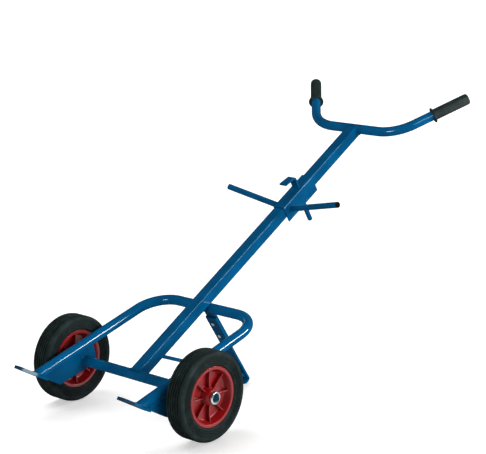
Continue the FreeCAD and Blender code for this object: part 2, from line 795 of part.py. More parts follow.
def build_clamp_arms():
    """Two tubes swept towards the load from the sleeve's cheeks, each closed by a push-in plug."""
    sweep = s.clamp_arm_sweep
    length = (s.clamp_arm_reach - web_outer) / cosine(sweep)
    slant = s.clamp_arm_radius * tangent(sweep)
    bore = s.clamp_arm_radius - s.clamp_arm_wall
    along = s.sleeve_start + s.clamp_arm_position
    plug_outline = [
        (length - s.plug_shank, 0),
        (length + s.plug_flange, 0),
        (length + s.plug_flange, s.clamp_arm_radius, s.plug_flange / 2),
        (length, s.clamp_arm_radius),
        (length, bore - s.seat_gap),
        (length - s.plug_shank, bore - s.seat_gap),
    ]
    for name, side in SIDES.items():
        direction = Vector(side * cosine(sweep), -sine(sweep), 0)
        root = Vector(side * (web_outer + s.weld_gap), s.clamp_arm_setback, along)
        frame = POLE * Placement(root, Rotation(direction, Z_AXIS.cross(direction), Z_AXIS, "XYZ"))
        outline = [(-slant, bore), (length, bore), (length, s.clamp_arm_radius), (-slant, s.clamp_arm_radius)]
        arm = turned_piece(f"{name}_clamp_arm", frame, outline)
        lean = side * overrun * tangent(sweep)
        cut = new_sketch(arm, "root", "XY_Plane")
        draw_outline(cut, [(lean, -overrun), (-lean, overrun), (-overrun, overrun), (-overrun, -overrun)])
        trim(arm, cut)
        turned_piece(f"{name}_arm_plug", frame, plug_outline)


def build_lever():
    """Cam lever on a pin through the cheeks: its eccentric end presses on the pole's rear face."""
    frame = POLE * Placement(Vector(0, *lever_pivot()), Rotation())
    body = new_body("clamp_lever", frame)
    cam = new_sketch(body, "cam", "YZ_Plane")
    draw_circle(cam, "Sizes.cam_radius", (-s.cam_offset, -s.cam_offset))
    pad(body, cam, "Sizes.cam_width", symmetric=True)
    handle = new_sketch(body, "handle", "XZ_Plane")
    draw_circle(handle, "Sizes.lever_radius")
    rod = pad(body, handle, "Sizes.lever_length")
    rod.Reversed = True
    doc.recompute()
    reach = [edge.BoundBox.YMin for edge in rod.Shape.Edges]
    tip = reach.index(max(reach)) + 1
    round_end = body.newObject("PartDesign::Fillet", "clamp_lever_end")
    round_end.Base = (rod, [f"Edge{tip}"])
    round_end.setExpression("Radius", "Sizes.lever_rounding")
    hole = new_sketch(body, "pin_hole", "YZ_Plane")
    draw_circle(hole, "Sizes.lever_pin_radius + Sizes.running_clearance")
    trim(body, hole)
    half = web_outer
    outline = [(-half, 0), (half, 0), (half, s.lever_pin_radius), (-half, s.lever_pin_radius)]
    turned_piece("lever_pin", frame, outline)


build_pole()
build_handlebar()
build_grips()
build_bow()
build_toes()
build_side_plates()
build_axle()
build_wheels()
build_stand()
build_brace()
build_fasteners()
build_sleeve()
build_cross_bars()
build_hook()
build_clamp_arms()
build_lever()
doc.recompute()

for item in doc.Objects:
    if "Invalid" in item.State or "Error" in item.State:
        raise RuntimeError(f"{item.Label} failed: {item.State}")
for piece in pieces:
    if piece.Shape.isNull() or not piece.Shape.isValid():
        raise RuntimeError(f"{piece.Label} has no valid shape")

os.makedirs("parts", exist_ok=True)
for piece in pieces:
    piece.Shape.exportStep(f"parts/{piece.Label}.step")
print(len(pieces), "pieces written")
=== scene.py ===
import math

import bmesh
import bpy
import numpy as np
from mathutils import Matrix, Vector


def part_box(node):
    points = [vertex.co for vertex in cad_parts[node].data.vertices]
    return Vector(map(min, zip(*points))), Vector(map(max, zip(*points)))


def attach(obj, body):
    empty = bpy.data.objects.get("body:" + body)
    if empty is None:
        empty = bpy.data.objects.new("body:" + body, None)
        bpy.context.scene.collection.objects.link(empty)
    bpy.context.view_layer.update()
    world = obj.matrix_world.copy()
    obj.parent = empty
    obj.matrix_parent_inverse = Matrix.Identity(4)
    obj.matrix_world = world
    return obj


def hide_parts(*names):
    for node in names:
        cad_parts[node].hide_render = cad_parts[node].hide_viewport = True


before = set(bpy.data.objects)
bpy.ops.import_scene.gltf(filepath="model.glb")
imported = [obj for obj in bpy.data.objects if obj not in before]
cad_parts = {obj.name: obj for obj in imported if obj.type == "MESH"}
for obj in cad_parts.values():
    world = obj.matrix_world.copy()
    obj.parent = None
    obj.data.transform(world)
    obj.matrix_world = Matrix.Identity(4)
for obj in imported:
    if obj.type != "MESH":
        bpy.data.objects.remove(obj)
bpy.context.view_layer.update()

# Lengths are millimetres and angles degrees. Meshes, lights and the floor are in metres.
MM = 0.001
TURN = 2 * math.pi
SIDES = {"left": -1, "right": 1}

# Sizes shared with the solids
POLE_ANGLE = 30.8
POLE_HALF = 17.5
AXLE_TUBE_RADIUS = 15.0
BAR_RADIUS = 15.0
BAR_DISTANCE = 1136.0
BAR_HALF_WIDTH = 157.0
BAR_BEND = 130.0
ARM_SPLAY = 35.5
ARM_LENGTH = 253.0
GRIP_LENGTH = 123.5
GRIP_RADIUS = 18.0
GRIP_END_WALL = 6.0
FLANGE_RADIUS = 24.0
FLANGE_THICKNESS = 5.0
BOW_RADIUS = 15.0
BOW_ANGLE = 15.8
BOW_HEIGHT = 51.5
BOW_HALF_WIDTH = 203.0
BOW_BEND = 88.0
TOE_ANGLE = 29.2
TOE_DEPTH = 94.0
TOE_THICKNESS = 9.0
TOE_REACH = 242.0
PLATE_OFFSET = 5.0
PLATE_THICKNESS = 6.0
PLATE_REAR = 43.0
WHEEL_RADIUS = 125.0
TYRE_WIDTH = 60.0
TYRE_SHOULDER = 9.0
TREAD_GROOVES = 5
SIDE_GROOVES = 4
HALF_TRACK = 263.0
RIM_RADIUS = 84.0
RIM_WIDTH = 54.0
RIM_RIBS = 8
HUB_RADIUS = 24.0
HUB_LENGTH = 59.0
HUB_BORE = 14.1
CAP_START = 295.8
CAP_RADIUS = 18.5
CAP_HEIGHT = 7.5
STAND_TILT = 3.2
STAND_LEAD = 8.0
STAND_WIDTH = 40.0
STAND_THICKNESS = 6.0
BRACKET_THICKNESS = 6.0
BRACE_START = 98.0
BRACE_RISE = 29.0
BRACE_WIDTH = 25.0
BRACE_THICKNESS = 10.0
SLEEVE_START = 717.0
SLEEVE_HALF = 21.0
CLAMP_ARM_RADIUS = 9.0
CLAMP_ARM_POSITION = 31.0
CLAMP_ARM_SETBACK = 7.0
CLAMP_ARM_SWEEP = 14.0
HOOK_WIDTH = 26.0
HOOK_POSITION = 94.0
HOOK_THICKNESS = 5.0

# Sizes of what is only drawn
CLEARANCE = 0.1
BAR_END_GAP = 1.0
BEAD_CHAMFER = 5.0
GROOVE_DRAFT = 0.3
GROOVE_EDGE = 0.4
RING_FLOOR_EDGE = 0.3
SIDE_GROOVE_START = 8.0
SIDE_GROOVE_PITCH = 5.0
SIDE_GROOVE_WIDTH = 2.4
SIDE_GROOVE_DEPTH = 2.0
TREAD_GROOVE_WIDTH = 4.0
TREAD_GROOVE_DEPTH = 3.0
RIB_LAP = 2.0
RIB_STOP = 11.0
RIB_REACH = 17.0
RIB_SAG = 1.5
RIB_FLARE = 2.0
RIB_HALF = 1.6
RIB_EDGE = 0.8
CAP_LIP_RADIUS = 14.0
CAP_WELL_RADIUS = 13.2
CAP_WELL_DEPTH = 2.0
INSERT_RADIUS = 13.1
INSERT_DOME = 1.4
INSERT_SINK = 0.5
FLANGE_EDGE = 1.6
FLANGE_FILLET = 0.8
GRIP_END_EDGE = 7.0
# The knurl is about 3 mm apart; drawn at 6 mm so that it shows.
KNURL_PITCH = 6.0
KNURL_AROUND = 20
KNURL_DEPTH = 0.6
KNURL_FADE = 2.0
KNURL_START = 2.0
KNURL_STOP = 1.0
GRIP_PLAIN = 1.8
WELD_STEP = 0.7
WELD_DROP = 3.0
WELD_DRIFT = 17.0
WELD_SWELL = 0.12
WELD_UNEVENNESS = 0.05
WELD_STOP = 1.0
# How far a weld's middle stands off the faces that it joins
WELD_LIFT = 0.8
WELD_LIFT_LESS = 0.6
WELD_LIFT_LEAST = 0.5
LEG_WELD_DROP = 14.0
BOW_WELD_SPREAD = 6.3
BOW_WELD_BEHIND = 1.0
POLE_CORNER = 3.0
RUB_WANDER = 30.0
RUB_SOFTNESS = 4.0


# Frames: an origin and a turn about X that carry local points into the trolley's frame
def frame_at(origin, angle):
    c, s = math.cos(math.radians(angle)), math.sin(math.radians(angle))
    return np.asarray(origin, float), np.array([[1, 0, 0], [0, c, -s], [0, s, c]])


def placed(place, points):
    origin, turn = place
    return origin + np.asarray(points, float) @ turn.T


axle_low, axle_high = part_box("axle")
AXLE = frame_at((np.array(axle_low) + np.array(axle_high)) / 2 / MM, 0)
POLE = frame_at(AXLE[0], POLE_ANGLE - 90)
BOW = frame_at(placed(frame_at(AXLE[0], BOW_ANGLE), (0, 0, BOW_HEIGHT)), BOW_ANGLE)
TOE = frame_at(AXLE[0], -TOE_ANGLE)
BOW_TO_POLE = math.radians(POLE_ANGLE - BOW_ANGLE)
BOW_TO_TOE = math.radians(BOW_ANGLE + TOE_ANGLE)
TOE_TOP = TOE_THICKNESS - TOE_DEPTH
CROSS_REAR = POLE_HALF + BOW_RADIUS
BOW_END = (CROSS_REAR + BOW_HEIGHT * math.cos(BOW_TO_POLE)) / math.sin(BOW_TO_POLE)
CROSS_ALONG = BOW_END * math.cos(BOW_TO_POLE) + BOW_HEIGHT * math.sin(BOW_TO_POLE)
STAND = frame_at(
    placed(POLE, (0, POLE_HALF, CROSS_ALONG - STAND_LEAD)), POLE_ANGLE - 90 + STAND_TILT
)


# Meshes from grids of points
def make_piece(name, grid, body, material, ring=False, sharp=40):
    """Grids of points (copies, rows, columns, 3) joined into quads.

    Columns always close, rows close in a ring.
    """
    rows, columns = grid.shape[-3:-1]
    copies = grid.reshape(-1, rows * columns, 3)
    row = np.arange(rows if ring else rows - 1)[:, None]
    column = np.arange(columns)[None, :]
    row_after, column_after = (row + 1) % rows, (column + 1) % columns
    corners = np.broadcast_arrays(
        row * columns + column,
        row * columns + column_after,
        row_after * columns + column_after,
        row_after * columns + column,
    )
    faces = np.stack(corners, -1).reshape(1, -1, 4)
    faces = (faces + np.arange(len(copies))[:, None, None] * rows * columns).reshape(-1, 4)
    mesh = bpy.data.meshes.new(name)
    mesh.from_pydata((copies.reshape(-1, 3) * MM).tolist(), [], faces.tolist())
    work = bmesh.new()
    work.from_mesh(mesh)
    bmesh.ops.remove_doubles(work, verts=work.verts, dist=1e-6)
    bmesh.ops.recalc_face_normals(work, faces=work.faces)
    work.to_mesh(mesh)
    work.free()
    mesh.polygons.foreach_set("use_smooth", np.ones(len(mesh.polygons), bool))
    mesh.set_sharp_from_angle(angle=math.radians(sharp))
    mesh.materials.append(material)
    piece = bpy.data.objects.new(name, mesh)
    bpy.context.scene.collection.objects.link(piece)
    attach(piece, body)
    return piece


def closed_ends(grid):
    """The grid with one more row at each end, drawn together at the middle of the end row."""
    first, last = grid[..., :1, :, :], grid[..., -1:, :, :]
    start = np.broadcast_to(first.mean(-2, keepdims=True), first.shape)
    end = np.broadcast_to(last.mean(-2, keepdims=True), last.shape)
    return np.concatenate([start, grid, end], -3)


def arc(corner, before, after, radius, count=None, spacing=4.0):
    """Points on the arc of a radius that is tangent to both runs from a corner."""
    before = before / np.linalg.norm(before)
    after = after / np.linalg.norm(after)
    half = math.acos(np.clip(before @ after, -1, 1)) / 2
    if count is None:
        count = max(8, int(radius * (math.pi - 2 * half) / spacing))
    bisector = (before + after) / np.linalg.norm(before + after)
    side = (after - bisector * (after @ bisector)) / math.sin(half)
    centre = corner + bisector * radius / math.sin(half)
    sweep = np.linspace(-1, 1, count)[:, None] * (math.pi / 2 - half)
    return centre - radius * (np.cos(sweep) * bisector - np.sin(sweep) * side)


def rounded(corners, steps):
    """Closed outline whose (a, b, radius) corners are replaced by arcs."""
    flat = np.array([corner[:2] for corner in corners], float)
    back = np.roll(flat, 1, 0) - flat
    ahead = np.roll(flat, -1, 0) - flat
    runs = []
    for point, before, after, corner in zip(flat, back, ahead, corners):
        if len(corner) > 2:
            runs.append(arc(point, before, after, corner[2], steps + 1))
        else:
            runs.append(point[None])
    return np.concatenate(runs)


def bent_path(corners, bend):
    """Straight runs in a plane, joined by arcs of one radius."""
    corners = np.asarray(corners, float)
    bends = [
        arc(here, before - here, after - here, bend)
        for before, here, after in zip(corners[:-2], corners[1:-1], corners[2:])
    ]
    return np.concatenate([corners[:1], *bends, corners[-1:]])


def turned(outline, centre, outward, segments=144):
    """Outline of (x, radius) turned about the axle: each point sweeps a circle, x runs outwards."""
    angle = np.linspace(0, TURN, segments, endpoint=False)[:, None]
    x = np.broadcast_to(outline[:, 0] * outward, (segments, len(outline)))
    y, z = outline[:, 1] * np.cos(angle), outline[:, 1] * np.sin(angle)
    return centre + np.stack([x, y, z], -1)


def tube(path, normal, radius, around=40):
    """Circle of a radius carried along a path that lies in the plane with that normal."""
    step = np.gradient(path, axis=0)
    step /= np.linalg.norm(step, axis=1)[:, None]
    side = np.cross(step, normal)
    angle = np.linspace(0, TURN, around, endpoint=False)[None, :, None]
    return path[:, None] + radius * (np.cos(angle) * side[:, None] + np.sin(angle) * normal)


# Materials
# The mixing node's inputs and its mixed colour have numbers, because several share a name.
SHARE, VALUE_A, VALUE_B, COLOUR_A, COLOUR_B, MIXED = 0, 2, 3, 6, 7, 2


def linear(code):
    """sRGB hex to the linear colour that a shader takes."""
    channel = np.array([int(code[k : k + 2], 16) for k in (1, 3, 5)]) / 255
    value = np.where(channel <= 0.04045, channel / 12.92, ((channel + 0.055) / 1.055) ** 2.4)
    return (*value.tolist(), 1.0)


def per_metre(millimetres):
    """Pattern scale for features of that size."""
    return 1 / (millimetres * MM)


def add(tree, kind, settings, links):
    """Node of a kind with its settings.

    Each input, named or numbered, gets a value or another node's output.
    """
    made = tree.nodes.new(kind)
    for key, value in settings.items():
        setattr(made, key, value)
    for key, value in links.items():
        if isinstance(value, bpy.types.NodeSocket):
            tree.links.new(value, made.inputs[key])
        else:
            made.inputs[key].default_value = value
    return made.outputs


def new_material(name):
    """Empty material with its node tree and its Object coordinates."""
    material = bpy.data.materials.new(name)
    material.use_nodes = True
    tree = material.node_tree
    tree.nodes.clear()
    return material, tree, add(tree, "ShaderNodeTexCoord", {}, {})["Object"]


def finish_surface(tree, links):
    """One shader with these values and links, joined to the output."""
    shader = add(tree, "ShaderNodeBsdfPrincipled", {}, links)
    add(tree, "ShaderNodeOutputMaterial", {}, {"Surface": shader[0]})


def patches(tree, place, size, detail, low, high, start=0.0, end=1.0, roughness=0.5):
    """Value that runs from low to high where noise of a size in mm runs from start to end."""
    grain = {"Scale": per_metre(size), "Detail": detail, "Roughness": roughness}
    noise = add(tree, "ShaderNodeTexNoise", {}, {"Vector": place, **grain})
    span = {"From Min": start, "From Max": end, "To Min": low, "To Max": high}
    return add(tree, "ShaderNodeMapRange", {}, {"Value": noise[0], **span})[0]


def clouds(tree, place, size, detail, start, end, colour, other, roughness=0.5):
    """Colour that turns into the other where noise of a size in mm runs from start to end."""
    share = patches(tree, place, size, detail, 0.0, 1.0, start, end, roughness)
    mix = {SHARE: share, COLOUR_A: linear(colour), COLOUR_B: linear(other)}
    return add(tree, "ShaderNodeMix", {"data_type": "RGBA"}, mix)[MIXED]


def relief(tree, place, size, detail, strength, depth, under):
    """Normal of a skin with bumps of a size and depth in mm, over the links that lie under it."""
    grain = {"Scale": per_metre(size), "Detail": detail}
    noise = add(tree, "ShaderNodeTexNoise", {}, {"Vector": place, **grain})
    bump = {"Height": noise[0], "Strength": strength, "Distance": depth * MM}
    return add(tree, "ShaderNodeBump", {}, {**bump, **under})[0]


def stoved_enamel(name, rubbed=None):
    """Blue enamel sprayed on steel and stoved: wet gloss, faint orange peel, a few chipped edges.

    A rubbed place (start and end in mm behind the toe's tip, share laid bare) shows dull steel,
    and the tip before it is darker.
    """
    material, tree, place = new_material(name)
    paint = clouds(tree, place, 70, 3.0, 0.35, 0.65, "#003251", "#003a5c")
    gloss = patches(tree, place, 45, 2.0, 0.09, 0.14)
    # The edge is rounded 0.6 mm; where it turns most, the film is thin and here and there chipped
    # to primer.
    edge = add(tree, "ShaderNodeBevel", {"samples": 4}, {"Radius": 0.6 * MM})[0]
    face = add(tree, "ShaderNodeNewGeometry", {}, {})["Normal"]
    level = add(tree, "ShaderNodeVectorMath", {"operation": "DOT_PRODUCT"}, {0: edge, 1: face})
    span = {"From Min": 0.80, "From Max": 0.97, "To Min": 1.0, "To Max": 0.0}
    at_edge = add(tree, "ShaderNodeMapRange", {}, {"Value": level["Value"], **span})[0]
    grain = {"Scale": per_metre(7), "Detail": 5.0, "Roughness": 0.7}
    speckle = add(tree, "ShaderNodeTexNoise", {}, {"Vector": place, **grain})[0]
    span = {"From Min": 0.58, "From Max": 0.68, "To Max": 0.5}
    chips = add(tree, "ShaderNodeMapRange", {}, {"Value": speckle, **span})[0]
    chipped = add(tree, "ShaderNodeMath", {"operation": "MULTIPLY"}, {0: chips, 1: at_edge})[0]
    layers = [(chipped, "#3f6a80")]
    if rubbed:
        start, end, share = rubbed
        origin, turn = TOE
        from_tip = {
            "Location": (turn.T @ -origin + (0, TOE_REACH, 0)) * MM,
            "Rotation": (math.radians(TOE_ANGLE), 0, 0),
        }
        sole = add(tree, "ShaderNodeMapping", {}, {"Vector": place, **from_tip})
        along = add(tree, "ShaderNodeSeparateXYZ", {}, {"Vector": sole[0]})["Y"]
        half, wander, soft = (end - start) / 2 * MM, RUB_WANDER * MM, RUB_SOFTNESS * MM
        middle = (start + end) / 2 * MM + wander / 2
        ragged = {0: speckle, 1: wander, 2: along}
        shift = add(tree, "ShaderNodeMath", {"operation": "MULTIPLY_ADD"}, ragged)[0]
        off = add(tree, "ShaderNodeMath", {"operation": "SUBTRACT"}, {0: shift, 1: middle})[0]
        away = add(tree, "ShaderNodeMath", {"operation": "ABSOLUTE"}, {0: off})[0]
        span = {"From Min": half - soft, "From Max": half + soft, "To Min": share, "To Max": 0.0}
        bare = add(tree, "ShaderNodeMapRange", {}, {"Value": away, **span})[0]
        span = {"From Min": -half - soft, "From Max": -half, "To Min": 0.8, "To Max": 0.0}
        tip = add(tree, "ShaderNodeMapRange", {}, {"Value": off, **span})[0]
        layers += [(tip, "#14222b"), (bare, "#606d75")]
        gloss = add(tree, "ShaderNodeMix", {}, {SHARE: bare, VALUE_A: gloss, VALUE_B: 0.5})[0]
    for share, colour in layers:
        mix = {SHARE: share, COLOUR_A: paint, COLOUR_B: linear(colour)}
        paint = add(tree, "ShaderNodeMix", {"data_type": "RGBA"}, mix)[MIXED]
    # Orange peel is about 1.5 mm across; drawn at 3 mm so that it shows.
    peel = relief(tree, place, 3, 1.0, 0.008, 0.4, {"Normal": edge})
    finish_surface(tree, {"Base Color": paint, "Roughness": gloss, "IOR": 1.5, "Normal": peel})
    return material


def moulded_rubber():
    """Black rubber from a mould: dull, greyer where dust lies, with a fine matt skin."""
    material, tree, place = new_material("moulded_tyre_rubber")
    links = {
        "Base Color": clouds(tree, place, 30, 5.0, 0.45, 0.75, "#0f1717", "#1a2424", 0.6),
        "Roughness": patches(tree, place, 4, 4.0, 0.55, 0.75),
        "IOR": 1.5,
        "Specular IOR Level": 0.25,
        "Normal": relief(tree, place, 1.2, 2.0, 0.15, 0.5, {}),
    }
    finish_surface(tree, links)
    return material


def moulded_polypropylene():
    """Red polypropylene, injection moulded: satin gloss, slight flow marks and a soft skin."""
    material, tree, place = new_material("moulded_red_polypropylene")
    links = {
        "Base Color": clouds(tree, place, 25, 3.0, 0.35, 0.7, "#510305", "#5f0407"),
        "Roughness": patches(tree, place, 6, 3.0, 0.28, 0.42),
        "IOR": 1.49,
        "Specular IOR Level": 0.45,
        "Normal": relief(tree, place, 1.5, 2.0, 0.06, 0.4, {}),
    }
    finish_surface(tree, links)
    return material


def moulded_plastic(name, colour, scuffed, low, high, gloss):
    """Dark soft plastic from a mould: even colour with paler scuffs and a patchy sheen."""
    material, tree, place = new_material(name)
    links = {
        "Base Color": clouds(tree, place, 14, 4.0, 0.45, 0.7, colour, scuffed),
        "Roughness": patches(tree, place, 3, 3.0, low, high),
        "IOR": 1.52,
        "Specular IOR Level": gloss,
    }
    finish_surface(tree, links)
    return material


def plated_steel(name, colour, clouded, low, high):
    """Plated steel: pale and bright, slightly clouded, with fine handling marks."""
    material, tree, place = new_material(name)
    links = {
        "Base Color": clouds(tree, place, 10, 4.0, 0.35, 0.65, colour, clouded),
        "Roughness": patches(tree, place, 2, 4.0, low, high),
        "Metallic": 1.0,
    }
    finish_surface(tree, links)
    return material


ENAMEL = stoved_enamel("blue_stoved_enamel")
RUBBER = moulded_rubber()
RED_PLASTIC = moulded_polypropylene()
VINYL = moulded_plastic("moulded_grip_vinyl", "#0e1817", "#1c2725", 0.38, 0.55, 0.6)
PLUG_PLASTIC = moulded_plastic("moulded_black_polythene", "#030404", "#070808", 0.6, 0.75, 0.05)
BUSH_PLASTIC = moulded_plastic("moulded_grey_nylon", "#3a3d3c", "#454846", 0.42, 0.6, 0.5)
CAP_PLASTIC = moulded_plastic("moulded_dark_cap_insert", "#03202b", "#062a36", 0.12, 0.2, 0.5)
ZINC = plated_steel("bright_zinc_plate", "#a2a6a6", "#8d9293", 0.3, 0.45)
NICKEL = plated_steel("satin_nickel_plate", "#e2e4e4", "#d4d7d8", 0.3, 0.4)

MATERIAL_OF = {
    "left_toe": stoved_enamel("worn_left_toe_enamel", (8, 66, 0.9)),
    "right_toe": stoved_enamel("worn_right_toe_enamel", (44, 66, 0.06)),
    "left_arm_plug": PLUG_PLASTIC,
    "right_arm_plug": PLUG_PLASTIC,
    "left_inner_bush": BUSH_PLASTIC,
    "left_outer_bush": BUSH_PLASTIC,
    "right_inner_bush": BUSH_PLASTIC,
    "right_outer_bush": BUSH_PLASTIC,
}
PLATED = (
    "axle",
    "left_spacer",
    "right_spacer",
    "left_washer",
    "right_washer",
    "stand_bolts",
    "stand_nuts",
    "lever_pin",
)
for node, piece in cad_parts.items():
    piece.data.materials.clear()
    piece.data.materials.append(ZINC if node in PLATED else MATERIAL_OF.get(node, ENAMEL))


# Wheels
def other_face(corners):
    """The same corners on the other face, in reverse."""
    return [(-corner[0],) + corner[1:] for corner in reversed(corners)]


def groove(width, depth, floor_edge):
    """Corners (along, down, radius) of a moulded groove: walls with draft and a flat floor."""
    return [
        (0, 0, GROOVE_EDGE),
        (GROOVE_DRAFT, depth, floor_edge),
        (width - GROOVE_DRAFT, depth, floor_edge),
        (width, 0, GROOVE_EDGE),
    ]


def tyre_outline():
    """Section of the tyre: rounded shoulders, square tread grooves and rings near the bead."""
    half, bore = TYRE_WIDTH / 2, RIM_RADIUS + CLEARANCE
    side = [(half - BEAD_CHAMFER, bore, 1), (half, bore + BEAD_CHAMFER, 2)]
    ring = groove(SIDE_GROOVE_WIDTH, SIDE_GROOVE_DEPTH, RING_FLOOR_EDGE)
    for low in bore + SIDE_GROOVE_START + SIDE_GROOVE_PITCH * np.arange(SIDE_GROOVES):
        side += [(half - down, low + along, edge) for along, down, edge in ring]
    side.append((half, WHEEL_RADIUS, TYRE_SHOULDER))
    pitch = 2 * (half - TYRE_SHOULDER) / TREAD_GROOVES
    cut = groove(TREAD_GROOVE_WIDTH, TREAD_GROOVE_DEPTH, GROOVE_EDGE)
    tread = []
    for middle in pitch * (np.arange(TREAD_GROOVES)[::-1] - (TREAD_GROOVES - 1) / 2):
        start = middle + TREAD_GROOVE_WIDTH / 2
        tread += [(start - along, WHEEL_RADIUS - down, edge) for along, down, edge in cut]
    return rounded(side + tread + other_face(side), 4)


def rim_outline():
    """Section of the rim: flat lip, slanted well, shallow cone and long hub, the same both ways."""
    half, hub = RIM_WIDTH / 2, HUB_LENGTH / 2
    # Corners (x, radius, rounding) from the bore over hub, web and well to the tyre's seat
    face = [
        (hub, HUB_BORE, 0.5),
        (hub, HUB_RADIUS - 4, 2),
        (hub - 8, HUB_RADIUS - 1, 4),
        (4, HUB_RADIUS + 4, 6),
        (5, RIM_RADIUS - 17, 7),
        (half - 4, RIM_RADIUS - 10.5, 3),
        (half, RIM_RADIUS - 8.5, 1.5),
        (half, RIM_RADIUS - 1, 0.8),
        (half - 2, RIM_RADIUS, 0.5),
    ]
    return rounded(face + other_face(face), 5)


def rib_grid(centre, outward):
    """Ribs on both faces, turned round the axle.

    Each is a slab with rounded edges from hub to lip, its edge line sagging and then flaring.
    """
    share = np.linspace(0, 1, 14)
    reach = np.linspace(HUB_RADIUS - RIB_LAP, RIM_RADIUS - RIB_STOP, len(share))
    edge = RIB_REACH - RIB_SAG * np.sin(math.pi * share) + RIB_FLARE * share**3
    half = edge.mean()
    corners = [(-half, -RIB_HALF), (half, -RIB_HALF), (half, RIB_HALF), (-half, RIB_HALF)]
    section = rounded([(*corner, RIB_EDGE) for corner in corners], 4)
    x = (section[:, 0] + np.sign(section[:, 0]) * (edge[:, None] - half)) * outward
    across = section[:, 1]
    angle = np.arange(RIM_RIBS)[:, None, None] * TURN / RIM_RIBS
    y = reach[:, None] * np.cos(angle) - across * np.sin(angle)
    z = reach[:, None] * np.sin(angle) + across * np.cos(angle)
    return centre + closed_ends(np.stack([np.broadcast_to(x, y.shape), y, z], -1))


def cap_outline():
    """Section of the push-on cap: rolled bright rim round a shallow well."""
    end = CAP_START + CAP_HEIGHT
    corners = [
        (CAP_START, CAP_RADIUS - 1, 0.5),
        (end, CAP_RADIUS, 4),
        (end, CAP_LIP_RADIUS, 1),
        (end - CAP_WELL_DEPTH, CAP_WELL_RADIUS, 0.6),
        (end - CAP_WELL_DEPTH, 0),
        (CAP_START, 0),
    ]
    return rounded(corners, 8)


def insert_outline():
    """Section of the cap's dark insert: a disc whose face falls with the radius's fourth power."""
    end = CAP_START + CAP_HEIGHT - CAP_WELL_DEPTH
    radius = np.linspace(0, INSERT_RADIUS, 12)
    dome = np.stack([end + INSERT_DOME * (1 - (radius / INSERT_RADIUS) ** 4), radius], -1)
    back = end - INSERT_SINK
    return np.concatenate([dome, [[back, INSERT_RADIUS], [back, 0]]])


rims = []
fittings = [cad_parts[node] for node in PLATED if node != "lever_pin"]
for name, side in SIDES.items():
    wheel = f"{name}_wheel"
    hub = AXLE[0] + np.array([side * HALF_TRACK, 0, 0])
    grid = turned(tyre_outline(), hub, side)
    tyre = make_piece(f"{name}_tyre_moulded", grid, wheel, RUBBER, ring=True)
    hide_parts(f"{name}_tyre")
    grid = turned(rim_outline(), hub, side)
    rim = make_piece(
        f"{name}_rim_dish", grid, wheel, RED_PLASTIC, ring=True, sharp=60
    )
    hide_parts(f"{name}_rim")
    grid = rib_grid(hub, side)
    ribs = make_piece(f"{name}_rim_ribs", grid, wheel, RED_PLASTIC, sharp=50)
    grid = turned(cap_outline(), AXLE[0], side, 72)
    cap = make_piece(f"{name}_cap_rim", grid, "frame", NICKEL, ring=True, sharp=50)
    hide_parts(f"{name}_axle_cap")
    grid = turned(insert_outline(), AXLE[0], side, 72)
    make_piece(
        f"{name}_cap_insert", grid, "frame", CAP_PLASTIC, ring=True, sharp=50
    )
    rims += [rim, ribs]
    fittings.append(cap)


# Bent tubes
def handlebar_grid():
    """Round tube carried along a straight middle and two splayed arms in the pole's plane."""
    splay = math.radians(ARM_SPLAY)
    reach = ARM_LENGTH - GRIP_END_WALL - BAR_END_GAP
    corner = np.array([BAR_HALF_WIDTH, BAR_DISTANCE])
    end = corner + reach * np.array([math.sin(splay), math.cos(splay)])
    flat = bent_path([end * (-1, 1), corner * (-1, 1), corner, end], BAR_BEND)
    path = placed(POLE, np.stack([flat[:, 0], 0 * flat[:, 0], flat[:, 1]], -1))
    return closed_ends(tube(path, POLE[1][:, 1], BAR_RADIUS))


def bow_grid():
    """Round tube along two legs and a cross run, its ends cut on the toes' upper faces."""
    half, front = BOW_HALF_WIDTH, -TOE_REACH
    flat = bent_path([(-half, front), (-half, BOW_END), (half, BOW_END), (half, front)], BOW_BEND)
    path = placed(BOW, np.stack([flat[:, 0], flat[:, 1], 0 * flat[:, 0]], -1))
    grid = tube(path, BOW[1][:, 2], BOW_RADIUS)
    leg, up = BOW[1][:, 1], TOE[1][:, 2]
    height = (grid[[0, -1]] - AXLE[0]) @ up - TOE_TOP
    grid[[0, -1]] -= height[..., None] / (leg @ up) * leg
    return closed_ends(grid)


bar = make_piece("handlebar_tube", handlebar_grid(), "frame", ENAMEL)
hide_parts("handlebar")
bow = make_piece("cradle_bow_tube", bow_grid(), "frame", ENAMEL)
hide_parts("cradle_bow")
tubes = [bar, bow]


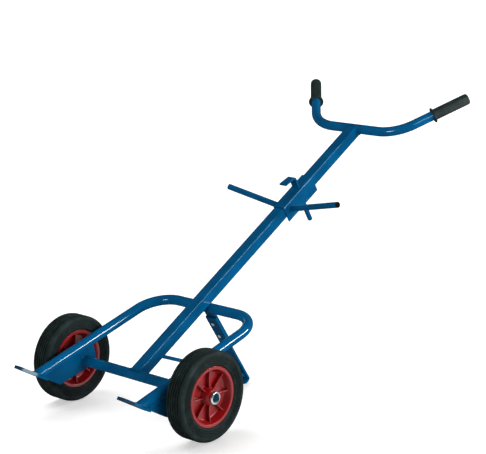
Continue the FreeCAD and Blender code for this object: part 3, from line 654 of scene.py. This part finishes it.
# Grips
def grip_grid(side):
    """Rings along the arm: a flange, a knurled sleeve and a rounded end.

    The sleeve's radius is the product of two crossed waves.
    """
    splay = math.radians(ARM_SPLAY)
    along = POLE[1] @ np.array([side * math.sin(splay), 0, math.cos(splay)])
    across = POLE[1][:, 1]
    root = placed(POLE, (side * BAR_HALF_WIDTH, 0, BAR_DISTANCE))
    start = root + along * (ARM_LENGTH - GRIP_LENGTH)
    turn = np.linspace(0, TURN, 216, endpoint=False)
    low = GRIP_RADIUS - KNURL_DEPTH
    flange = rounded(
        [
            (0, BAR_RADIUS + CLEARANCE),
            (0, FLANGE_RADIUS, FLANGE_EDGE),
            (FLANGE_THICKNESS, FLANGE_RADIUS, FLANGE_EDGE),
            (FLANGE_THICKNESS, low, FLANGE_FILLET),
            (FLANGE_THICKNESS + GRIP_PLAIN, low),
        ],
        5,
    )
    end_start = GRIP_LENGTH - GRIP_END_EDGE
    sleeve = np.linspace(FLANGE_THICKNESS + KNURL_START, end_start - KNURL_STOP, 230)[:, None]
    phase = sleeve * TURN / KNURL_PITCH
    wave = np.cos(KNURL_AROUND * turn + phase) * np.cos(KNURL_AROUND * turn - phase)
    fade = np.minimum(sleeve - sleeve[0], sleeve[-1] - sleeve) / KNURL_FADE
    swing = np.linspace(0, math.pi / 2, 10)
    end_run = end_start + GRIP_END_EDGE * np.sin(swing)
    end_radius = low - GRIP_END_EDGE + GRIP_END_EDGE * np.cos(swing)
    run = np.concatenate([flange[:, :1], sleeve, end_run[:, None], [[GRIP_LENGTH]]])[..., None]
    radius = np.concatenate(
        [
            np.repeat(flange[:, 1:], len(turn), 1),
            low + KNURL_DEPTH * wave * np.clip(fade, 0, 1),
            np.repeat(end_radius[:, None], len(turn), 1),
            np.zeros((1, len(turn))),
        ]
    )[..., None]
    ring = np.cos(turn)[:, None] * across + np.sin(turn)[:, None] * np.cross(along, across)
    return start + run * along + radius * ring


for name, side in SIDES.items():
    grid = grip_grid(side)
    grip = make_piece(f"{name}_grip_sleeve", grid, "frame", VINYL, sharp=70)
    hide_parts(f"{name}_grip")


# Welds
def weld(name, path, body, radius, ring=False):
    """Laid weld: a circle carried along a path, its radius swelling where each drop froze.

    A slower wave makes the run a little uneven.
    """
    if ring:
        step = np.roll(path, -1, 0) - np.roll(path, 1, 0)
    else:
        step = np.gradient(path, axis=0) * 2
    length = np.linalg.norm(step, axis=1)
    step /= length[:, None]
    run = np.cumsum(length / 2)
    # A direction that no weld follows
    side = np.cross(step, (0.71, 0.57, 0.41))
    side /= np.linalg.norm(side, axis=1)[:, None]
    other = np.cross(step, side)
    drops, drift = np.cos(TURN * run / WELD_DROP), np.sin(TURN * run / WELD_DRIFT)
    swell = (radius * (1 + WELD_SWELL * drops + WELD_UNEVENNESS * drift))[:, None, None]
    angle = np.linspace(0, TURN, 10, endpoint=False)[None, :, None]
    circle = np.cos(angle) * side[:, None] + np.sin(angle) * other[:, None]
    grid = path[:, None] + swell * circle
    grid = grid if ring else closed_ends(grid)
    make_piece(name, grid, body, ENAMEL, ring, sharp=80)


def line(first, last):
    """Even points between two points."""
    first, last = np.asarray(first, float), np.asarray(last, float)
    count = int(np.linalg.norm(last - first) / WELD_STEP)
    return first + np.linspace(0, 1, count)[:, None] * (last - first)


def ellipse(centre, first, second):
    """Even turn about a centre with two half axes."""
    turn = np.linspace(0, TURN, 160, endpoint=False)[:, None]
    return centre + np.cos(turn) * np.asarray(first) + np.sin(turn) * np.asarray(second)


def across_pole(half, behind, along):
    """Line across the pole, that far behind its middle and along it."""
    return placed(POLE, line((-half, behind, along), (half, behind, along)))


def saddle(across, radius, least):
    """Height of a tube's surface that far across its axis, and the least where it has ended."""
    return np.sqrt(np.clip((radius + WELD_LIFT_LEAST) ** 2 - across**2, least**2, None))


foot_along = TOE_TOP / math.sin(BOW_TO_TOE) - BOW_HEIGHT / math.tan(BOW_TO_TOE)
leg_front = TOE_TOP / math.sin(BOW_TO_TOE) - (BOW_HEIGHT - LEG_WELD_DROP) / math.tan(BOW_TO_TOE)
leg_rear = PLATE_REAR - 2 * WELD_STOP
collar = AXLE_TUBE_RADIUS + WELD_LIFT
arm_high = CLAMP_ARM_RADIUS + WELD_LIFT_LESS
arm_wide = CLAMP_ARM_RADIUS / math.cos(math.radians(CLAMP_ARM_SWEEP)) + WELD_LIFT_LESS
leg_wide = BOW_RADIUS + WELD_LIFT_LEAST
leg_long = leg_wide / math.sin(BOW_TO_TOE)
# The leg lies on the plate's upper edge: one run inside, a heavier one fills the wedge outside.
# Each has an offset from the plate's inner face, a drop below the leg's middle and a radius.
leg_welds = (("inner", -0.9, 14.8, 2.0), ("outer", PLATE_THICKNESS - 0.4, 12.4, 3.0))
for name, side in SIDES.items():
    plate = side * (BOW_HALF_WIDTH + PLATE_OFFSET)
    middle = AXLE[0] + (plate - side * WELD_LIFT, 0, 0)
    path = ellipse(middle, (0, collar, 0), (0, 0, collar))
    weld(f"{name}_axle_tube_weld", path, "frame", 2.4, ring=True)
    root = (side * SLEEVE_HALF, CLAMP_ARM_SETBACK, SLEEVE_START + CLAMP_ARM_POSITION)
    path = placed(POLE, ellipse(root, (0, arm_wide, 0), (0, 0, arm_high)))
    weld(f"{name}_clamp_arm_weld", path, "clamp", 1.8, ring=True)
    foot = placed(BOW, (0, foot_along, 0)) + np.array([side * BOW_HALF_WIDTH, 0, 0])
    path = ellipse(foot, (leg_wide, 0, 0), TOE[1][:, 1] * leg_long)
    weld(f"{name}_toe_weld", path, "frame", 2.2, ring=True)
    for place, offset, drop, radius in leg_welds:
        x = plate + side * offset
        path = placed(BOW, line((x, leg_front, -drop), (x, leg_rear, -drop)))
        weld(f"{name}_leg_{place}_weld", path, "frame", radius)

# The pole's foot and head: a rounded square whose height follows the tube that it stands on
half = POLE_HALF + WELD_LIFT_LEAST
corners = [(-half, -half), (half, -half), (half, half), (-half, half)]
square = rounded([(*corner, POLE_CORNER) for corner in corners], 4)
square = np.concatenate([square, square[:1]])
run = np.concatenate([[0], np.cumsum(np.linalg.norm(np.diff(square, axis=0), axis=1))])
even = np.linspace(0, run[-1], int(run[-1] / WELD_STEP), endpoint=False)
square = np.stack([np.interp(even, run, square[:, k]) for k in (0, 1)], -1)
foot = saddle(square[:, 1], AXLE_TUBE_RADIUS, 4)
path = placed(POLE, np.column_stack([square, foot]))
weld("pole_foot_weld", path, "frame", 2.6, ring=True)
head = BAR_DISTANCE - saddle(square[:, 1], BAR_RADIUS, 6)
path = placed(POLE, np.column_stack([square, head]))
weld("pole_head_weld", path, "frame", 1.6, ring=True)

half, behind = POLE_HALF - 2 * WELD_STOP, POLE_HALF + BOW_WELD_BEHIND
for place, shift in (("upper", BOW_WELD_SPREAD), ("lower", -BOW_WELD_SPREAD)):
    path = across_pole(half, behind, CROSS_ALONG + shift)
    weld(f"bow_{place}_weld", path, "frame", 2.2)
half, behind = HOOK_WIDTH / 2 - WELD_STOP, -SLEEVE_HALF - WELD_LIFT
for place, shift in (("upper", HOOK_THICKNESS + WELD_LIFT), ("lower", -WELD_LIFT)):
    path = across_pole(half, behind, SLEEVE_START + HOOK_POSITION + shift)
    weld(f"hook_{place}_weld", path, "clamp", 1.8)

# The bracket hangs under the bow's cross run.
run_y, run_z = ((placed(POLE, (0, CROSS_REAR, CROSS_ALONG)) - STAND[0]) @ STAND[1])[1:]
half = STAND_WIDTH / 2 - WELD_STOP
bracket_front = STAND_THICKNESS / 2
bracket_rear = bracket_front + BRACKET_THICKNESS
for place, depth in (("front", bracket_front - WELD_LIFT), ("rear", bracket_rear + WELD_LIFT)):
    drop = run_y + math.sqrt((BOW_RADIUS + WELD_LIFT_LESS) ** 2 - (depth - run_z) ** 2)
    path = placed(STAND, line((-half, drop, depth), (half, drop, depth)))
    weld(f"bracket_{place}_weld", path, "frame", 2.0)

# The brace runs from the pole to the foot of the stand.
front = -STAND_THICKNESS / 2
floor_drop = -placed(STAND, (0, 0, front))[2] / STAND[1][2, 1]
upper_end = placed(POLE, (0, POLE_HALF, BRACE_START))
lower_end = placed(STAND, (0, floor_drop - BRACE_RISE, front))
brace_run = (lower_end - upper_end) / np.linalg.norm(lower_end - upper_end)
reach = np.array([BRACE_WIDTH / 2 - WELD_STOP, 0, 0])
ends = (("upper", upper_end, POLE[1][:, 2]), ("lower", lower_end, STAND[1][:, 1]))
for place, end, along in ends:
    half = BRACE_THICKNESS / 2 / math.sqrt(1 - (brace_run @ along) ** 2) + WELD_LIFT
    for edge, shift in (("over", half), ("under", -half)):
        middle = end + along * shift
        path = line(middle - reach, middle + reach)
        weld(f"brace_{place}_{edge}_weld", path, "frame", 1.8)


# Stage: a pale floor that sweeps up into a wall, so that no view looks past its edge, in metres
FLOOR_RADIUS = 22.0
FLOOR_SWEEP = 4.0
WALL_TOP = 12.0
FLOOR_SPOKES = 128
FLOOR_GLOW = 0.5
WORLD_GLOW = 0.03

paper, tree, place = new_material("white_studio_paper")
links = {
    "Base Color": clouds(tree, place, 900, 2.0, 0.0, 1.0, "#dfdfde", "#e3e3e2"),
    "Roughness": 0.9,
    "Specular IOR Level": 0.1,
    "Emission Color": linear("#ffffff"),
    "Emission Strength": FLOOR_GLOW,
}
finish_surface(tree, links)
sweep = np.linspace(0, math.pi / 2, 12)
wall = FLOOR_RADIUS + FLOOR_SWEEP
reach = np.concatenate([[0.01], FLOOR_RADIUS + FLOOR_SWEEP * np.sin(sweep), [wall]])[:, None]
rise = np.concatenate([[0], FLOOR_SWEEP * (1 - np.cos(sweep)), [WALL_TOP]])[:, None]
turn = np.linspace(0, TURN, FLOOR_SPOKES, endpoint=False)
points = np.broadcast_arrays(reach * np.cos(turn), reach * np.sin(turn), rise)
points = np.stack(points, -1).reshape(-1, 3)
spoke = np.arange(FLOOR_SPOKES)
spoke_after = np.roll(spoke, -1)
ring = np.arange(len(rise) - 1)[:, None] * FLOOR_SPOKES
ring_after = ring + FLOOR_SPOKES
quads = [ring + spoke, ring_after + spoke, ring_after + spoke_after, ring + spoke_after]
quads = np.stack(quads, -1).reshape(-1, 4)
floor_mesh = bpy.data.meshes.new("studio_floor")
floor_mesh.from_pydata(points.tolist(), [], quads.tolist() + [spoke.tolist()])
floor_mesh.polygons.foreach_set("use_smooth", np.ones(len(floor_mesh.polygons), bool))
floor_mesh.materials.append(paper)
floor = bpy.data.objects.new("studio_floor", floor_mesh)
floor.visible_glossy = False
bpy.context.scene.collection.objects.link(floor)

world = bpy.data.worlds.new("dim_studio")
world.use_nodes = True
world.node_tree.nodes["Background"].inputs["Color"].default_value = linear("#ffffff")
world.node_tree.nodes["Background"].inputs["Strength"].default_value = WORLD_GLOW
bpy.context.scene.world = world
bpy.context.scene.view_settings.view_transform = "Standard"


def soft_box(name, place, target, width, height, power, mirrored, pieces):
    """Rectangular studio light that faces a target point.

    Gloss mirrors it or not; where pieces are given, it reaches these and nothing else.
    """
    light = bpy.data.lights.new(name, "AREA")
    light.shape = "RECTANGLE"
    light.size, light.size_y = width, height
    light.energy = power
    lamp = bpy.data.objects.new(name, light)
    lamp.location = place
    lamp.rotation_euler = (Vector(target) - Vector(place)).to_track_quat("-Z", "Y").to_euler()
    lamp.visible_camera = False
    lamp.visible_glossy = mirrored
    bpy.context.scene.collection.objects.link(lamp)
    if pieces:
        group = bpy.data.collections.new(f"lit_by_{name}")
        for piece in pieces:
            group.objects.link(piece)
        lamp.light_linking.receiver_collection = group


# Lights in metres and watts. Those from the sides and the front are kept off the floor. Gloss on
# the tubes and rims mirrors a full strip, on the other pieces a faint one, and only the rims and
# the plated fittings mirror the pale floor.
trolley = [piece for piece in bpy.context.scene.objects if piece.type == "MESH" and piece != floor]
round_pieces = tubes + rims
others = [piece for piece in trolley if piece not in round_pieces]
LIGHTS = (
    ("tube_strip", (2.29, 1.68, 1.24), (0, -0.3, 0.25), 1.6, 0.28, 107, True, round_pieces),
    ("edge_strip", (2.55, 1.25, 1.24), (0, -0.3, 0.25), 1.8, 0.28, 45, True, others),
    ("bend_box", (0.1, -3.4, 0.9), (0.2, 0.6, 0.7), 1.1, 0.25, 35, True, tubes),
    ("arm_box", (2.94, -1.35, 1.77), (0.2, 0.6, 0.75), 0.5, 0.3, 7, True, [bar]),
    ("right_box", (3.6, 0.2, 1.5), (0, -0.2, 0.4), 1.6, 1.6, 255, False, trolley),
    ("left_box", (-3.6, -0.4, 1.4), (0, -0.2, 0.4), 1.6, 1.6, 60, False, trolley),
    ("overhead_box", (-1.8, -1.2, 4.3), (-0.4, -0.6, 0), 4.2, 4.2, 172, False, None),
    ("far_wash", (-4.0, 13.0, 7.0), (-4.0, 13.0, 0), 26.0, 12.0, 3000, False, None),
    ("front_box", (0.3, -4.2, 0.9), (0, -0.4, 0.3), 2.0, 1.0, 105, False, trolley),
    ("floor_glow", (0.3, 0, 0.004), (0.3, 0, 1), 4.0, 4.0, 50, True, rims + fittings),
)
for light in LIGHTS:
    soft_box(*light)

# The camera stands where the picture was taken from, measured from the floor under the axle.
EYE = np.array([2989.5, -2900.4, 1442.1])
YAW, PITCH = math.radians(41.78), math.radians(12.17)
# Focal length over the picture's width
FOCAL_SHARE = 1561.88 / 486
lens = bpy.data.cameras.new("photo_view")
lens.sensor_fit = "HORIZONTAL"
lens.lens = FOCAL_SHARE * lens.sensor_width
camera = bpy.data.objects.new("photo_view", lens)
camera.location = (EYE + (0, AXLE[0][1], 0)) * MM
camera.rotation_euler = (math.pi / 2 - PITCH, 0, YAW)
bpy.context.scene.collection.objects.link(camera)
bpy.context.scene.camera = camera
